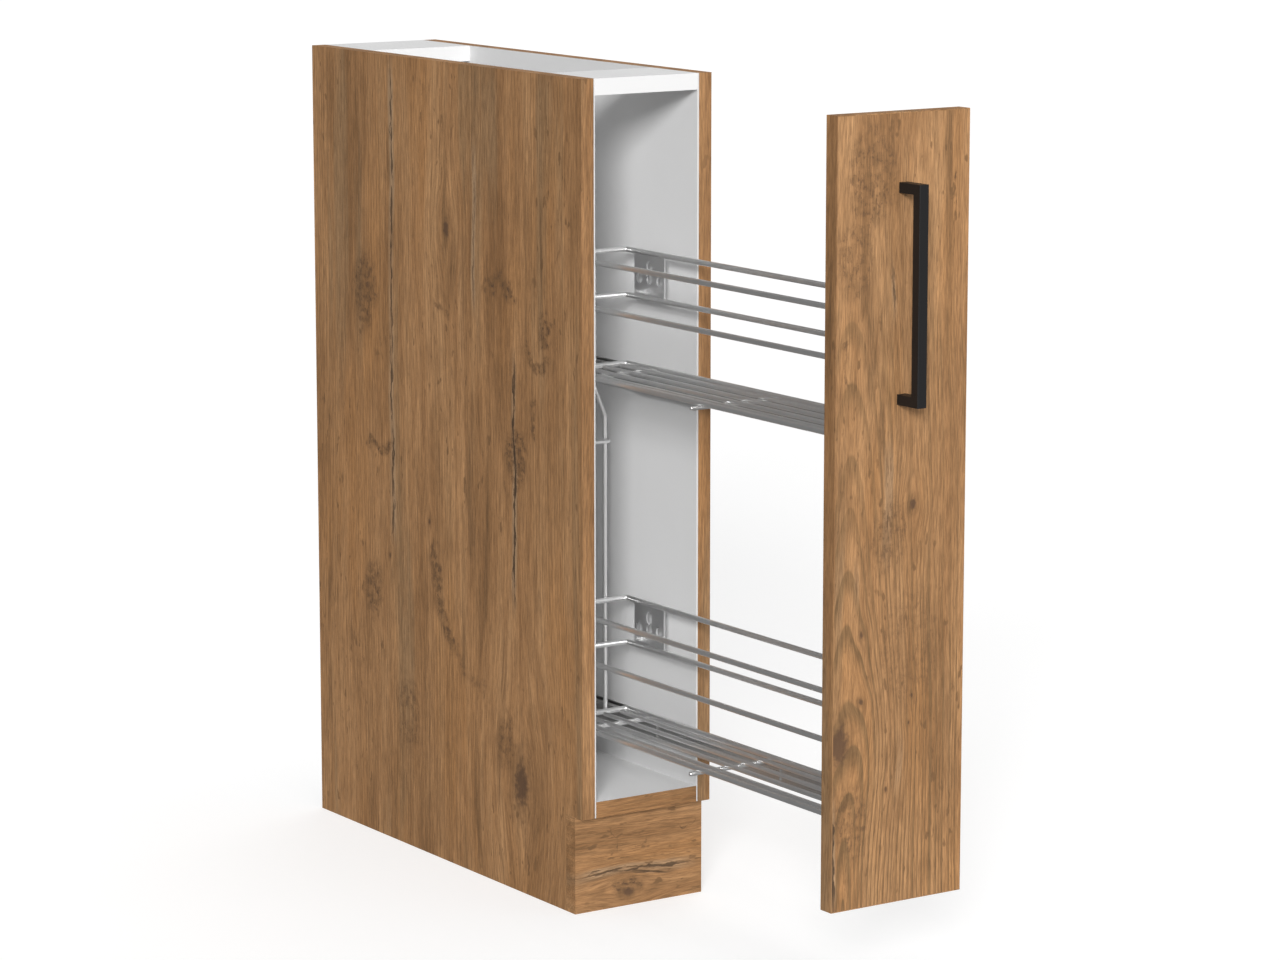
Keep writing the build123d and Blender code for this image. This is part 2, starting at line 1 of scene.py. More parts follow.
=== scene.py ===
"""Narrow base cabinet with a two-tier wire pull-out: the looks around the CAD frame.

Everything is in metres, in the frame's own axes: X across, -Y to the front, Z up from the floor.
"""

import math

import bmesh
import bpy
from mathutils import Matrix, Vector


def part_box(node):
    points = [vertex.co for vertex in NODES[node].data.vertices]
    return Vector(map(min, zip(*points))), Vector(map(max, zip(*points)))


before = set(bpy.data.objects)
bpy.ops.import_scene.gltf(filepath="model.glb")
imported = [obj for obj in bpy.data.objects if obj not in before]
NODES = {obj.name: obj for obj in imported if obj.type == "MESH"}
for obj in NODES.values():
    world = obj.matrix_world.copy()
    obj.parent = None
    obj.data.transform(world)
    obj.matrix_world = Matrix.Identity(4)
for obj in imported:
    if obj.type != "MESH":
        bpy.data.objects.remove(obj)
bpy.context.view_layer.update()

# ---- the view ----
CAMERA_PLACE = (-2.2682, -3.4212, 1.1544)
CAMERA_YAW = 33.763          # degrees from +Y towards +X
CAMERA_PITCH = 10.117        # degrees below the horizon
CAMERA_LENS = 119.81
CAMERA_SENSOR = 36.0

# ---- studio light ----
# Each sun: name, azimuth (0 shines from the front, 90 from the right), elevation, strength, angle,
# and whether metal mirrors it.
SUNS = (
    ("front_key", -39.0, 20.0, 2.70, 15.0, True),
    ("overhead", 20.0, 80.0, 1.00, 60.0, False),
    ("rear_fill", 125.0, 12.0, 1.10, 60.0, False),
)
WORLD_BRIGHTNESS = 0.19
WORLD_FRONT = 0.85           # how much brighter the studio is straight in front of the cabinet
WORLD_FOCUS = 4.0            # how fast that fades to the sides; higher is narrower
FLOOR_HALF = 60.0
FLOOR_GLOW = 0.55

# ---- where things are ----
BOARD_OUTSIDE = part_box("side_panel_right")[1].x
BOARD_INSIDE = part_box("side_panel_right")[0].x
SKIN = 0.0005
CARCASS_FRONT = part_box("side_panel_left")[0].y
DOOR_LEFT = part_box("door_edge_bands")[0].x

X, Y, Z = 0, 1, 2


class Graph:
    """Short calls that add and join the nodes of a material or a world."""

    def __init__(self, owner):
        owner.use_nodes = True
        self.owner = owner
        self.tree = owner.node_tree

    def feed(self, socket, value):
        if isinstance(value, bpy.types.NodeSocket):
            self.tree.links.new(value, socket)
        else:
            socket.default_value = value

    def node(self, kind, feeds, **settings):
        made = self.tree.nodes.new(kind)
        for name, value in settings.items():
            setattr(made, name, value)
        for place, value in feeds.items():
            self.feed(made.inputs[place], value)
        return made

    def place(self):
        """The point in the object's own axes, as three sockets."""
        coordinates = self.node("ShaderNodeTexCoord", {})
        return self.split(coordinates.outputs["Object"])

    def split(self, vector):
        parts = self.node("ShaderNodeSeparateXYZ", {0: vector})
        return parts.outputs[0], parts.outputs[1], parts.outputs[2]

    def join(self, x, y, z):
        return self.node("ShaderNodeCombineXYZ", {0: x, 1: y, 2: z}).outputs[0]

    def math(self, operation, a, b=0.0, c=0.0):
        made = self.node("ShaderNodeMath", {0: a, 1: b, 2: c}, operation=operation)
        return made.outputs[0]

    def plus(self, a, b):
        return self.math("ADD", a, b)

    def minus(self, a, b):
        return self.math("SUBTRACT", a, b)

    def times(self, a, b):
        return self.math("MULTIPLY", a, b)

    def stretch(self, vector, factors, shift=(0.0, 0.0, 0.0)):
        feeds = {0: vector, 1: factors, 2: shift}
        made = self.node("ShaderNodeVectorMath", feeds, operation="MULTIPLY_ADD")
        return made.outputs[0]

    def noise(self, vector, scale=1.0, detail=2.0, roughness=0.5):
        feeds = {"Vector": vector, "Scale": scale, "Detail": detail, "Roughness": roughness}
        return self.node("ShaderNodeTexNoise", feeds).outputs[0]

    def cells(self, vector, scale=1.0):
        feeds = {"Vector": vector, "Scale": scale}
        return self.node("ShaderNodeTexVoronoi", feeds)

    def between(self, value, low, high, to_low=0.0, to_high=1.0):
        """A smooth step from to_low, at low, to to_high, at high."""
        feeds = {
            "Value": value,
            "From Min": low,
            "From Max": high,
            "To Min": to_low,
            "To Max": to_high,
        }
        made = self.node("ShaderNodeMapRange", feeds, interpolation_type="SMOOTHSTEP")
        return made.outputs[0]

    def mix(self, share, a, b, blend="MIX"):
        """Colour a, with share of colour b."""
        made = self.node("ShaderNodeMix", {0: share, 6: a, 7: b}, data_type="RGBA", blend_type=blend)
        return made.outputs[2]

    def ramp(self, value, *stops):
        made = self.node("ShaderNodeValToRGB", {0: value})
        elements = made.color_ramp.elements
        while len(elements) < len(stops):
            elements.new(0.5)
        for element, (position, colour) in zip(elements, stops):
            element.position = position
            element.color = colour
        return made.outputs[0]

    def grey(self, value):
        """A colour with the same value in all three channels."""
        return self.join(value, value, value)


class Material(Graph):
    """A new material with the usual shader."""

    def __init__(self, name):
        super().__init__(bpy.data.materials.new(name))
        self.shader = self.tree.nodes["Principled BSDF"]

    def bump(self, height, distance, strength):
        feeds = {"Height": height, "Distance": distance, "Strength": strength}
        made = self.node("ShaderNodeBump", feeds)
        self.feed(self.shader.inputs["Normal"], made.outputs[0])

    def finish(self, **inputs):
        """Sets the shader's own sockets; an underscore in a name stands for a space."""
        for name, value in inputs.items():
            self.feed(self.shader.inputs[name.replace("_", " ")], value)
        return self.owner


def rgb(red, green, blue):
    return (red, green, blue, 1.0)


# The side panels' white skin, painted darker than the white melamine of the other boards: painted
# shade for the cabinet's inner walls.
SHADED_WHITE_SKIN = rgb(0.73, 0.73, 0.73)
CHIP_DARK = rgb(0.26, 0.16, 0.085)
CHIP_MID = rgb(0.42, 0.29, 0.17)
CHIP_LIGHT = rgb(0.56, 0.42, 0.27)

# ---- oak decor ----
OAK_LIGHT = rgb(0.490, 0.270, 0.124)
OAK_MID = rgb(0.390, 0.204, 0.088)
OAK_DARK = rgb(0.262, 0.132, 0.054)
OAK_ORANGE = rgb(0.430, 0.210, 0.078)
OAK_OLIVE = rgb(0.300, 0.188, 0.098)
OAK_GREY = rgb(0.400, 0.252, 0.140)
OAK_RING = rgb(0.205, 0.118, 0.052)
OAK_UMBER = rgb(0.160, 0.086, 0.038)
OAK_CRACK = rgb(0.045, 0.027, 0.016)
KNOT_HEART = rgb(0.110, 0.060, 0.034)
OAK_BUMP = (0.0004, 0.5)     # depth and strength
OAK_SHINE = 0.3
RING_WIDTH = 0.0048
RING_JITTER = 3.0            # how unevenly the rings are spaced, in rings
PLAIN_RINGS = 0.42           # how dark the rings are on a board that doesn't say
ABOVE_ALL = 9.0              # higher than any board, for rings that don't fade out
LATE_WOOD = (0.35, 0.85, 0.92)    # where in a ring its dark part starts, is full, and breaks off
KNOT_LENGTH = 1.7            # a knot's length along the grain, for each unit across
KNOT_REACH = 4.0             # how far the grain bends round a knot, in knot radii
KNOT_PUSH = 0.72             # how far a knot pushes the grain aside, for each unit from its middle
KNOT_RAGGED = 1.4            # how ragged a knot's outline is, in knot radii
STREAK_FADE = 0.05           # how far a streak takes to fade at its ends
STREAK_DRIFT = 0.014         # how far a streak wanders sideways, slowly
STREAK_SHIVER = 0.0030       # and quickly
STREAK_BRAID = 3.0           # how far a crack's second line wanders, in streak half widths
CRACK_THICKNESS = (0.0004, 0.0018)    # the thinnest and the thickest, each side of its middle
PATCH_FLATTEN = 0.6          # a mark that goes all the way round is longer along the grain
MARK_WARP = (0.022, 0.030)   # how far a mark's outline wanders, across and along the grain

# Each layer of noise in the grain: features for each metre across and along it, seed, detail,
# roughness.
GRAIN_LAYERS = {
    "boards": (17.0, 1.7, 1.0, 4.0, 0.6),
    "bands": (75.0, 5.0, 2.0, 3.0, 0.5),
    "orange": (18.0, 3.0, 4.0, 2.0, 0.5),
    "olive": (30.0, 1.6, 6.0, 3.0, 0.5),
    "ring_strength": (16.0, 2.0, 9.0, 2.0, 0.5),
    "streak_wear": (60.0, 6.0, 12.0, 3.0, 0.5),
    "umber_streaks": (46.0, 3.4, 15.0, 3.0, 0.6),
    "coarse_fibres": (210.0, 14.0, 17.0, 4.0, 0.65),
    "fine_fibres": (860.0, 48.0, 19.0, 3.0, 0.7),
    "dark_patches": (16.0, 8.0, 21.0, 3.0, 0.6),
    "pores": (1300.0, 55.0, 23.0, 1.0, 0.5),
    "long_lines": (330.0, 4.5, 25.0, 2.0, 0.6),
    "flecks": (150.0, 48.0, 27.0, 2.0, 0.6),
    "fleck_areas": (8.0, 4.0, 29.0, 2.0, 0.5),
}


class Figure:
    """What one board's decor shows, with places (across, along) in metres from its corner.

    across and along are axes. The tree's pith runs at pith across, as deep under the surface as
    depth says at apex, and deeper by taper for each metre along from there. shift sets the board's
    random figure apart from the others'.
    """

    def __init__(self, across, along, corner, pith, depth, taper, apex, **features):
        self.across = across
        self.along = along
        self.corner = corner
        self.pith = pith
        self.depth = depth
        self.taper = taper
        self.apex = apex
        self.knots = features.get("knots", ())
        self.streaks = features.get("streaks", ())
        self.marks = features.get("marks", ())
        self.rings = features.get("rings", PLAIN_RINGS)
        self.rings_top = features.get("rings_top", ABOVE_ALL)
        self.shift = features.get("shift", 0.0)


# A knot is (across, along, radius).
# A streak is (across, low end, high end, half width, how cracked it is).
# A mark is an arc of darker wood: (centre across, centre along, radius, the way to its middle in
# degrees, half its sweep in degrees, half width, darkness). Half a sweep of 180 makes a round patch.
SIDE = {
    "knots": (
        (0.248, 0.654, 0.0062),
        (0.285, 0.350, 0.0022),
        (0.365, 0.302, 0.0022),
        (0.111, 0.110, 0.0145),
    ),
    "streaks": (
        (0.357, 0.300, 0.830, 0.0080, 0.9),
        (0.120, 0.270, 0.560, 0.0065, 1.0),
        (0.190, 0.560, 0.760, 0.0060, 0.6),
        (0.111, 0.110, 0.160, 0.0030, 1.0),
    ),
    "marks": (
        (0.152, 0.577, 0.034, 95.0, 66.0, 0.0110, 1.0),
        (0.385, 0.440, 0.030, -90.0, 62.0, 0.0095, 1.0),
        (0.078, 0.553, 0.020, -80.0, 95.0, 0.0075, 1.0),
        (0.117, 0.326, 0.160, -19.0, 24.0, 0.0130, 1.0),
        (0.412, 0.574, 0.010, 0.0, 180.0, 0.0200, 0.9),
        (0.066, 0.574, 0.006, 0.0, 180.0, 0.0080, 0.9),
        (0.400, 0.262, 0.008, 0.0, 180.0, 0.0160, 0.8),
        (0.140, 0.150, 0.008, 0.0, 180.0, 0.0130, 0.6),
        (0.330, 0.140, 0.012, 0.0, 180.0, 0.0180, 0.5),
        (0.120, 0.440, 0.010, 90.0, 180.0, 0.0140, 1.0),
        (0.050, 0.480, 0.040, 0.0, 35.0, 0.0040, 0.9),
        (0.270, 0.545, 0.030, 120.0, 40.0, 0.0060, 0.5),
        (0.190, 0.250, 0.050, -60.0, 50.0, 0.0080, 0.4),
    ),
}
DOOR = {
    "knots": (
        (0.0870, 0.465, 0.0040),
        (0.0310, 0.352, 0.0024),
        (0.0070, 0.253, 0.0125),
        (0.0200, 0.291, 0.0020),
        (0.0800, 0.265, 0.0016),
        (0.0845, 0.290, 0.0016),
        (0.0510, 0.207, 0.0018),
    ),
    "streaks": (
        (0.0625, 0.620, 0.700, 0.0030, 1.0),
        (0.0600, 0.400, 0.540, 0.0080, 0.4),
        (0.0275, 0.370, 0.430, 0.0040, 0.9),
        (0.0730, 0.190, 0.265, 0.0060, 0.0),
        (0.0080, 0.080, 0.225, 0.0040, 1.0),
    ),
    "marks": (
        (0.085, 0.335, 0.020, 0.0, 180.0, 0.0200, 0.3),
        (0.022, 0.180, 0.010, 0.0, 180.0, 0.0160, 0.5),
        (0.062, 0.440, 0.010, 0.0, 180.0, 0.0160, 0.5),
        (0.040, 0.760, 0.012, 0.0, 180.0, 0.0220, 0.6),
        (0.022, 0.690, 0.010, 0.0, 180.0, 0.0160, 0.5),
        (0.100, 0.755, 0.030, -10.0, 30.0, 0.0020, 0.7),
        (0.020, 0.735, 0.020, -30.0, 60.0, 0.0040, 0.6),
        (0.060, 0.600, 0.050, 180.0, 30.0, 0.0030, 0.6),
    ),
    "rings": 0.85,
    "rings_top": 0.60,
    "shift": 3.1,
}
PLINTH = {
    "knots": ((0.014, 0.060, 0.0050),),
    "streaks": (
        (0.036, -0.02, 0.160, 0.0085, 0.9),
        (0.030, 0.040, 0.130, 0.0030, 1.0),
    ),
    "marks": (
        (0.020, 0.062, 0.006, 0.0, 180.0, 0.0080, 0.9),
        (0.068, 0.010, 0.036, 90.0, 22.0, 0.0012, 1.0),
        (0.100, 0.120, 0.030, 160.0, 28.0, 0.0014, 1.0),
        (0.090, 0.065, 0.030, 160.0, 24.0, 0.0012, 0.8),
    ),
    "rings": 0.45,
    "shift": 5.7,
}

FIGURES = {
    "side": Figure(Y, Z, (CARCASS_FRONT, 0.0), 0.22, 0.020, 0.015, 0.40, **SIDE),
    "door": Figure(X, Z, (DOOR_LEFT, 0.0), 0.018, 0.050, 0.100, 0.62, **DOOR),
    "plinth": Figure(Z, X, (0.0, DOOR_LEFT), 0.030, 0.030, 0.050, 0.10, **PLINTH),
    "upright_band": Figure(X, Z, (0.0, 0.0), 0.30, 0.020, 0.02, 0.40, shift=8.3),
    "level_band": Figure(Z, X, (0.0, 0.0), 0.30, 0.020, 0.02, 0.40, shift=11.9),
}


def bend_round_knots(g, u, v, knots):
    """The across-grain place pushed aside by each knot, and the distance to the nearest in radii."""
    nearest = 9.0
    wander = g.noise(g.join(u, v, 0.0), 160.0, 3.0, 0.6)
    for across, along, radius in knots:
        du = g.minus(u, across)
        dv = g.minus(v, along)
        a = g.times(du, 1.0 / radius)
        b = g.times(dv, 1.0 / (radius * KNOT_LENGTH))
        square = g.math("MULTIPLY_ADD", a, a, g.times(b, b))
        fall = g.math("EXPONENT", g.times(square, -1.0 / KNOT_REACH ** 2))
        u = g.minus(u, g.times(g.times(du, fall), KNOT_PUSH))
        distance = g.plus(g.math("SQRT", square), g.times(g.minus(wander, 0.5), KNOT_RAGGED))
        nearest = g.math("MINIMUM", nearest, distance)
    return u, nearest


def mineral_streaks(g, u, v, streaks):
    """The shares of grey mineral colour and of dark crack."""
    grey = 0.0
    crack = 0.0
    drift = g.minus(g.noise(g.join(0.0, v, 0.0), 9.0, 2.0, 0.5), 0.5)
    shiver = g.minus(g.noise(g.join(0.0, v, 3.0), 60.0, 3.0, 0.7), 0.5)
    gaps = g.noise(g.join(g.times(u, 300.0), g.times(v, 24.0), 5.0), 1.0, 3.0, 0.6)
    swell = g.noise(g.join(g.times(u, 200.0), g.times(v, 60.0), 9.0))
    thickness = g.between(swell, 0.35, 0.65, *CRACK_THICKNESS)
    braid = g.minus(g.noise(g.join(0.0, v, 7.0), 26.0, 2.0, 0.6), 0.5)
    for across, low, high, half, cracked in streaks:
        off = g.plus(g.minus(u, across), g.times(drift, STREAK_DRIFT))
        off = g.plus(off, g.times(shiver, STREAK_SHIVER))
        low_end = g.between(v, low, low + STREAK_FADE)
        ends = g.times(low_end, g.between(v, high, high - STREAK_FADE))
        middle = g.math("ABSOLUTE", off)
        grey = g.math("MAXIMUM", grey, g.times(g.between(middle, half, half * 0.35), ends))
        if cracked:
            second = g.math("ABSOLUTE", g.minus(off, g.times(braid, half * STREAK_BRAID)))
            near = g.math("MINIMUM", middle, g.plus(second, 0.0003))
            line = g.times(g.between(g.minus(near, thickness), 0.0006, -0.0002), ends)
            line = g.times(line, g.between(gaps, 0.55 - 0.18 * cracked, 0.61 - 0.14 * cracked))
            crack = g.math("MAXIMUM", crack, g.times(line, cracked))
    return grey, crack


def curved_marks(g, u, v, marks):
    """The shares of small dark specks and of soft brown shade in the board's curved marks."""
    dark = 0.0
    place = g.join(u, v, 0.0)
    warp = g.node("ShaderNodeTexNoise", {"Vector": place, "Scale": 55.0, "Detail": 3.0})
    across_warp, along_warp, _ = g.split(warp.outputs["Color"])
    u = g.plus(u, g.times(g.minus(across_warp, 0.5), MARK_WARP[0]))
    v = g.plus(v, g.times(g.minus(along_warp, 0.5), MARK_WARP[1]))
    for across, along, radius, aim, sweep, half, darkness in marks:
        du = g.minus(u, across)
        dv = g.times(g.minus(v, along), PATCH_FLATTEN if sweep == 180.0 else 1.0)
        reach = g.math("SQRT", g.math("MULTIPLY_ADD", du, du, g.times(dv, dv)))
        off = g.math("ABSOLUTE", g.minus(reach, radius))
        here = g.between(off, half, half * 0.2)
        if sweep < 180.0:
            aside = g.times(du, math.cos(math.radians(aim)))
            forward = g.plus(aside, g.times(dv, math.sin(math.radians(aim))))
            facing = g.math("DIVIDE", forward, g.math("MAXIMUM", reach, 0.0001))
            limit = math.cos(math.radians(sweep))
            here = g.times(here, g.between(facing, limit, limit + (1.0 - limit) * 0.5))
        dark = g.math("MAXIMUM", dark, g.times(here, darkness))
    specks = g.noise(g.stretch(place, (420.0, 130.0, 1.0)), 1.0, 4.0, 0.7)
    patches = g.noise(place, 110.0, 3.0, 0.6)
    broken = g.times(g.between(specks, 0.50, 0.58), g.between(patches, 0.42, 0.56))
    return g.times(dark, broken), g.times(dark, g.between(patches, 0.35, 0.60, 0.3, 1.0))


class Grain:
    """The decor's grain on one board: places along and across it, and layers of noise drawn out
    along it."""

    def __init__(self, g, figure):
        place = g.place()
        self.g = g
        self.figure = figure
        self.u = g.minus(place[figure.across], figure.corner[0])
        self.v = g.minus(place[figure.along], figure.corner[1])
        w = place[3 - figure.across - figure.along]

        plain = g.join(self.u, self.v, w)
        bent, self.knot = bend_round_knots(g, self.u, self.v, figure.knots)
        self.sway = self.wave(plain, (5.0, 1.3, 5.0), (figure.shift, 0.0, 0.0))
        ripple = self.wave(plain, (30.0, 6.0, 30.0), (0.0, figure.shift, 0.0))
        self.bent = g.plus(bent, g.plus(g.times(self.sway, 0.030), g.times(ripple, 0.0045)))
        self.line = g.join(self.bent, self.v, w)

    def wave(self, place, factors, shift):
        """Slow noise about zero, the same along the grain however the knots bend it."""
        return self.g.minus(self.g.noise(self.g.stretch(place, factors, shift), 1.0, 2.0), 0.5)

    def layer(self, name):
        across, along, seed, detail, roughness = GRAIN_LAYERS[name]
        shift = (seed + self.figure.shift, seed * 1.7, self.figure.shift)
        place = self.g.stretch(self.line, (across, along, across), shift)
        return self.g.noise(place, 1.0, detail, roughness)

    def where(self, name, low, high, to_low=0.0, to_high=1.0):
        """A smooth step over one layer."""
        return self.g.between(self.layer(name), low, high, to_low, to_high)


def broad_tones(g, grain):
    """From the darkest to the palest boards of the print, with orange and olive areas."""
    boards = g.times(grain.layer("boards"), 0.6)
    tone = g.plus(boards, g.times(grain.layer("bands"), 0.4))
    colour = g.ramp(tone, (0.37, OAK_DARK), (0.50, OAK_MID), (0.64, OAK_LIGHT))
    colour = g.mix(grain.where("orange", 0.50, 0.72, 0.0, 0.6), colour, OAK_ORANGE)
    return g.mix(grain.where("olive", 0.56, 0.70, 0.0, 0.6), colour, OAK_OLIVE)


def growth_rings(g, grain, figure):
    """The share of dark late wood, in rings that the board cuts lengthwise."""
    depth = g.math("MULTIPLY_ADD", g.minus(grain.v, figure.apex), figure.taper, figure.depth)
    depth = g.plus(depth, g.times(grain.sway, 0.02))
    off = g.minus(grain.bent, figure.pith)
    radius = g.math("SQRT", g.math("MULTIPLY_ADD", off, off, g.times(depth, depth)))
    uneven = g.times(g.noise(g.join(radius, 0.0, figure.shift), 70.0, 2.0), RING_JITTER)
    turn = g.math("FRACT", g.plus(g.times(radius, 1.0 / RING_WIDTH), uneven))
    start, full, end = LATE_WOOD
    late = g.times(g.between(turn, start, full), g.between(turn, 1.0, end))
    strength = grain.where("ring_strength", 0.30, 0.65, 0.25 * figure.rings, figure.rings)
    below_top = g.between(grain.v, figure.rings_top, figure.rings_top + 0.06, 1.0, 0.3)
    return g.times(g.times(late, strength), below_top)


def oak(g, figure):
    """The decor's colour, and its height for the bump."""
    grain = Grain(g, figure)
    colour = broad_tones(g, grain)
    colour = g.mix(growth_rings(g, grain, figure), colour, OAK_RING)

    grey, crack = mineral_streaks(g, grain.bent, grain.v, figure.streaks)
    grey = g.times(grey, grain.where("streak_wear", 0.30, 0.65, 0.55, 1.0))
    colour = g.mix(grey, colour, OAK_GREY)
    colour = g.mix(grain.where("umber_streaks", 0.62, 0.72, 0.0, 0.55), colour, OAK_UMBER)

    # fibres, pores and flecks
    coarse = grain.layer("coarse_fibres")
    light = g.times(
        g.between(coarse, 0.25, 0.75, 0.90, 1.09),
        grain.where("fine_fibres", 0.25, 0.75, 0.68, 1.29),
    )
    patch = grain.where("dark_patches", 0.50, 0.68)
    colour = g.mix(g.times(patch, 0.40), colour, OAK_DARK)
    colour = g.mix(1.0, colour, g.grey(light), "MULTIPLY")
    pores = grain.where("pores", 0.60, 0.70)
    colour = g.mix(g.times(pores, 0.35), colour, OAK_UMBER)
    lines = grain.where("long_lines", 0.60, 0.70)
    colour = g.mix(g.times(lines, 0.45), colour, OAK_DARK)
    fleck = g.times(grain.where("flecks", 0.63, 0.70), grain.where("fleck_areas", 0.45, 0.60))
    colour = g.mix(g.times(fleck, 0.7), colour, OAK_UMBER)

    # marks, knots and cracks lie over everything else
    specks, shade = curved_marks(g, grain.u, grain.v, figure.marks)
    colour = g.mix(g.times(shade, 0.75), colour, OAK_UMBER)
    colour = g.mix(specks, colour, KNOT_HEART)
    colour = g.mix(g.between(grain.knot, 2.2, 0.9, 0.0, 0.35), colour, OAK_UMBER)
    colour = g.mix(g.between(grain.knot, 1.1, 0.4, 0.0, 0.85), colour, KNOT_HEART)
    colour = g.mix(g.times(crack, 0.85), colour, OAK_CRACK)

    height = g.minus(g.times(coarse, 0.5), g.plus(g.times(pores, 0.7), g.times(crack, 1.5)))
    return colour, height


def oak_material(name, figure):
    g = Material(name)
    colour, height = oak(g, figure)
    g.bump(height, *OAK_BUMP)
    shine = g.noise(g.join(*g.place()), 300.0, 2.0)
    finish = g.between(shine, 0.2, 0.8, 0.50, 0.62)
    return g.finish(Base_Color=colour, Roughness=finish, Specular_IOR_Level=OAK_SHINE)


def chipboard(g, place):
    """The colour of a board's raw edge: pressed chips, paler and darker."""
    chips = g.cells(g.stretch(place, (700.0, 260.0, 500.0))).outputs["Color"]
    shade = g.split(chips)[0]
    dust = g.noise(place, 1800.0, 2.0)
    colour = g.ramp(shade, (0.05, CHIP_DARK), (0.45, CHIP_MID), (0.95, CHIP_LIGHT))
    return g.mix(1.0, colour, g.grey(g.between(dust, 0.3, 0.7, 0.85, 1.1)), "MULTIPLY")


def side_panel_material(figure):
    """Oak decor outside and on the top edge, white skin inside painted darker than the other white
    melamine as painted shade, chipboard where the board is cut.
    """
    g = Material("side_panel")
    x, y, z = g.place()
    place = g.join(x, y, z)
    out = g.math("ABSOLUTE", x)
    coordinates = g.node("ShaderNodeTexCoord", {})
    normal = g.split(coordinates.outputs["Normal"])
    oak_colour, height = oak(g, figure)
    outside = g.between(out, BOARD_OUTSIDE - SKIN, BOARD_OUTSIDE - SKIN * 0.8)
    inside = g.between(out, BOARD_INSIDE + SKIN, BOARD_INSIDE + SKIN * 0.8)
    top = g.between(normal[2], 0.5, 0.6)
    front = g.between(normal[1], -0.5, -0.6)
    colour = g.mix(g.math("MAXIMUM", outside, top), chipboard(g, place), oak_colour)
    # the inside and front faces take the darker white skin, painted shade on the cabinet's inner
    # walls
    colour = g.mix(g.math("MAXIMUM", inside, front), colour, SHADED_WHITE_SKIN)
    g.bump(g.times(height, outside), *OAK_BUMP)
    finish = g.between(g.noise(place, 300.0, 2.0), 0.2, 0.8, 0.48, 0.60)
    return g.finish(Base_Color=colour, Roughness=finish, Specular_IOR_Level=OAK_SHINE)


# ---- plain materials ----

def white_melamine():
    g = Material("white_melamine")
    place = g.join(*g.place())
    cloud = g.noise(place, 12.0, 3.0)
    peel = g.noise(place, 900.0, 2.0)
    g.bump(peel, 0.00008, 0.35)
    colour = g.mix(cloud, rgb(0.85, 0.85, 0.85), rgb(0.88, 0.88, 0.88))
    return g.finish(Base_Color=colour, Roughness=g.between(cloud, 0.2, 0.8, 0.42, 0.50))


def metal(name, colour, roughness, streak=(60.0, 60.0, 60.0), depth=0.00003):
    g = Material(name)
    place = g.join(*g.place())
    drawn = g.noise(g.stretch(place, streak), 1.0, 3.0, 0.6)
    stain = g.noise(place, 45.0, 2.0)
    pale = rgb(*(channel * 1.03 for channel in colour))
    dull = rgb(*(channel * 0.95 for channel in colour))
    g.bump(drawn, depth, 0.4)
    finish = g.between(drawn, 0.2, 0.8, roughness * 0.85, roughness * 1.2)
    return g.finish(Base_Color=g.mix(stain, dull, pale), Metallic=1.0, Roughness=finish)


def black_lacquer():
    g = Material("black_lacquer")
    place = g.join(*g.place())
    grit = g.noise(place, 2600.0, 2.0, 0.6)
    g.bump(grit, 0.00006, 0.5)
    colour = g.mix(grit, rgb(0.006, 0.006, 0.0065), rgb(0.012, 0.012, 0.013))
    finish = g.between(grit, 0.2, 0.8, 0.42, 0.55)
    return g.finish(Base_Color=colour, Roughness=finish, Specular_IOR_Level=0.35)


def clear_rubber():
    g = Material("clear_rubber")
    haze = g.noise(g.join(*g.place()), 800.0, 2.0)
    return g.finish(
        Base_Color=g.mix(haze, rgb(0.80, 0.80, 0.78), rgb(0.88, 0.88, 0.86)),
        Roughness=g.between(haze, 0.2, 0.8, 0.22, 0.34),
        Transmission_Weight=0.6,
        IOR=1.48,
    )


def beech():
    g = Material("beech")
    grain = g.noise(g.stretch(g.join(*g.place()), (120.0, 1400.0, 1400.0)), 1.0, 3.0)
    g.bump(grain, 0.00005, 0.4)
    colour = g.mix(grain, rgb(0.50, 0.31, 0.16), rgb(0.68, 0.47, 0.28))
    return g.finish(Base_Color=colour, Roughness=0.6)


WHITE = white_melamine()
MATERIALS = {
    "white_melamine": WHITE,
    "white_hardboard": WHITE,
    "beech": beech(),
    "zinc_die_cast": metal("zinc_die_cast", (0.52, 0.53, 0.55), 0.42, (300.0,) * 3),
    "zinc_steel": metal("zinc_steel", (0.62, 0.63, 0.64), 0.28, (200.0,) * 3),
    "black_lacquer": black_lacquer(),
    "clear_rubber": clear_rubber(),
    "chromed_wire": metal("chromed_wire", (0.87, 0.868, 0.865), 0.34, (200.0, 6.0, 200.0), 0.000002),
    "slide_steel": metal("slide_steel", (0.60, 0.595, 0.59), 0.30, (700.0, 12.0, 700.0)),
    "bearing_steel": metal("bearing_steel", (0.78, 0.78, 0.79), 0.08),
    "plate_steel": metal("plate_steel", (0.78, 0.78, 0.785), 0.32, (40.0, 40.0, 1500.0), 0.00001),
}
OAK = {
    "side_panel_left": "side",
    "side_panel_right": "side",
    "door_panel": "door",
    "plinth_board": "plinth",
    "edge_bands_sides": "upright_band",
    "door_edge_bands": "upright_band",
    "edge_band_bottom": "level_band",
}


def dress_nodes():
    """Gives every CAD node its material."""
    oaks = {name: oak_material("oak_" + name, FIGURES[name]) for name in FIGURES if name != "side"}
    oaks["side"] = side_panel_material(FIGURES["side"])
    for name, node in NODES.items():
        slot = node.data.materials[0].name.split(".")[0]
        node.data.materials[0] = oaks[OAK[name]] if name in OAK else MATERIALS[slot]


def make_camera():
    data = bpy.data.cameras.new("camera")
    data.lens = CAMERA_LENS
    data.sensor_width = CAMERA_SENSOR
    camera = bpy.data.objects.new("camera", data)
    camera.location = CAMERA_PLACE
    camera.rotation_euler = (math.radians(90.0 - CAMERA_PITCH), 0.0, math.radians(-CAMERA_YAW))
    bpy.context.scene.collection.objects.link(camera)
    bpy.context.scene.camera = camera


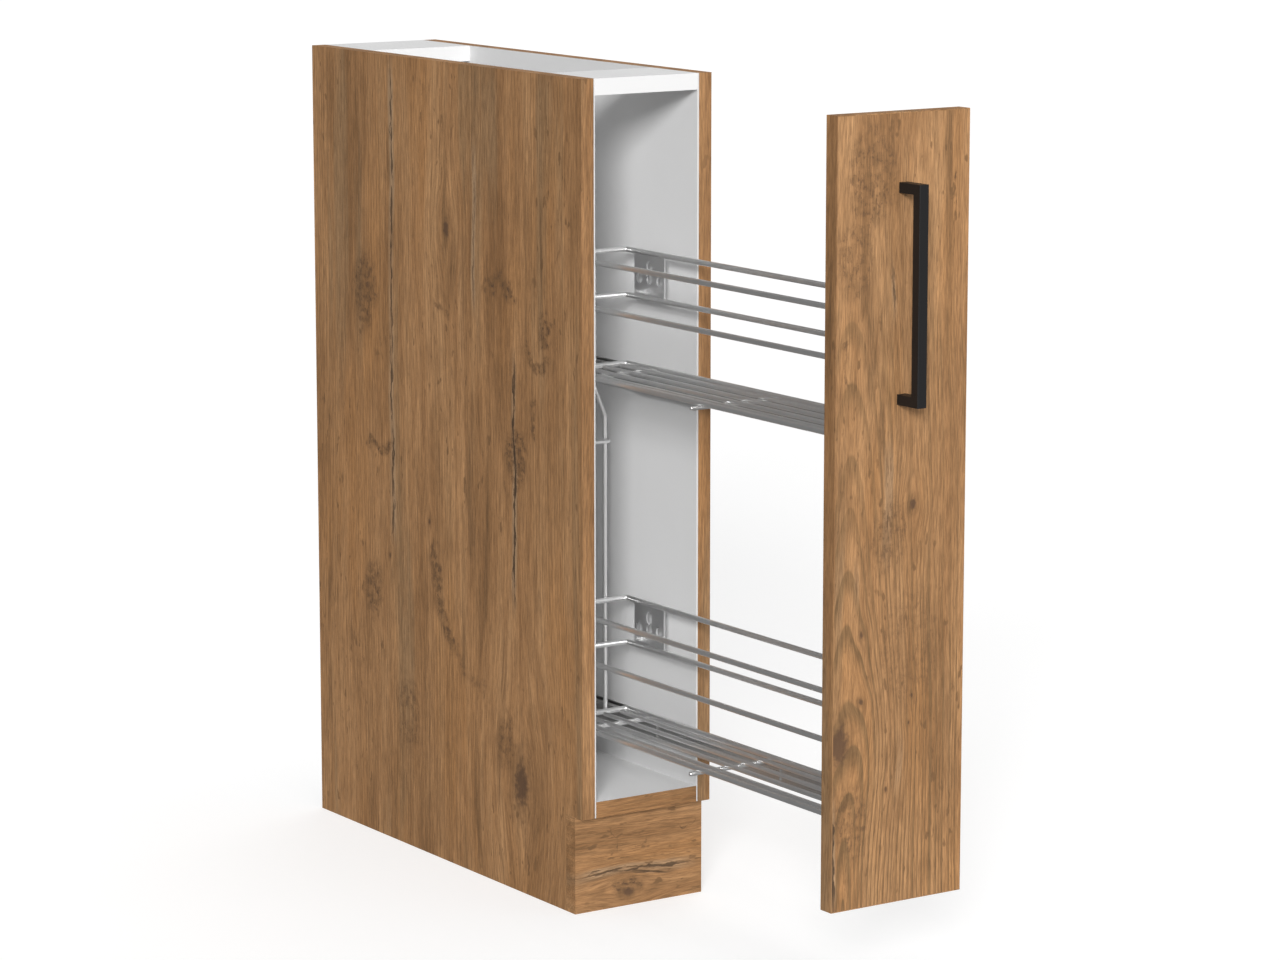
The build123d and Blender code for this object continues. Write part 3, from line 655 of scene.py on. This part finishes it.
def make_lights():
    for name, azimuth, elevation, strength, angle, mirrored in SUNS:
        a = math.radians(azimuth)
        e = math.radians(elevation)
        towards = Vector((math.sin(a) * math.cos(e), -math.cos(a) * math.cos(e), math.sin(e)))
        data = bpy.data.lights.new(name, "SUN")
        data.energy = strength
        data.angle = math.radians(angle)
        sun = bpy.data.objects.new(name, data)
        sun.rotation_euler = towards.to_track_quat("Z", "Y").to_euler()
        sun.visible_glossy = mirrored
        bpy.context.scene.collection.objects.link(sun)
    make_world()


def make_world():
    """An even grey studio that grows brighter towards the front, like one large soft box. The
    camera itself sees it white."""
    world = bpy.data.worlds.new("studio")
    bpy.context.scene.world = world
    g = Graph(world)
    direction = g.node("ShaderNodeTexCoord", {}).outputs["Generated"]
    feeds = {0: direction, 1: (0.0, -1.0, 0.0)}
    forward = g.node("ShaderNodeVectorMath", feeds, operation="DOT_PRODUCT").outputs["Value"]
    spread = g.math("POWER", g.math("MAXIMUM", forward, 0.0), WORLD_FOCUS)
    brightness = g.math("MULTIPLY_ADD", spread, WORLD_FRONT, WORLD_BRIGHTNESS)
    camera_ray = g.node("ShaderNodeLightPath", {}).outputs["Is Camera Ray"]
    background = g.tree.nodes["Background"]
    g.feed(background.inputs["Color"], rgb(1.0, 1.0, 1.0))
    g.feed(background.inputs["Strength"], g.math("MAXIMUM", brightness, camera_ray))


def make_floor():
    shape = bmesh.new()
    bmesh.ops.create_grid(shape, x_segments=1, y_segments=1, size=FLOOR_HALF)
    data = bpy.data.meshes.new("floor")
    shape.to_mesh(data)
    shape.free()
    floor = bpy.data.objects.new("floor", data)
    bpy.context.scene.collection.objects.link(floor)
    g = Material("studio_floor")
    tint = g.noise(g.join(*g.place()), 0.6, 2.0)
    colour = g.mix(tint, rgb(0.50, 0.50, 0.50), rgb(0.54, 0.54, 0.54))
    data.materials.append(g.finish(
        Base_Color=colour,
        Roughness=0.9,
        Emission_Color=rgb(1.0, 1.0, 1.0),
        Emission_Strength=FLOOR_GLOW,
    ))
    floor.visible_glossy = False
    floor.visible_diffuse = False


make_camera()
make_lights()
make_floor()
dress_nodes()

bpy.context.scene.view_settings.view_transform = "Standard"
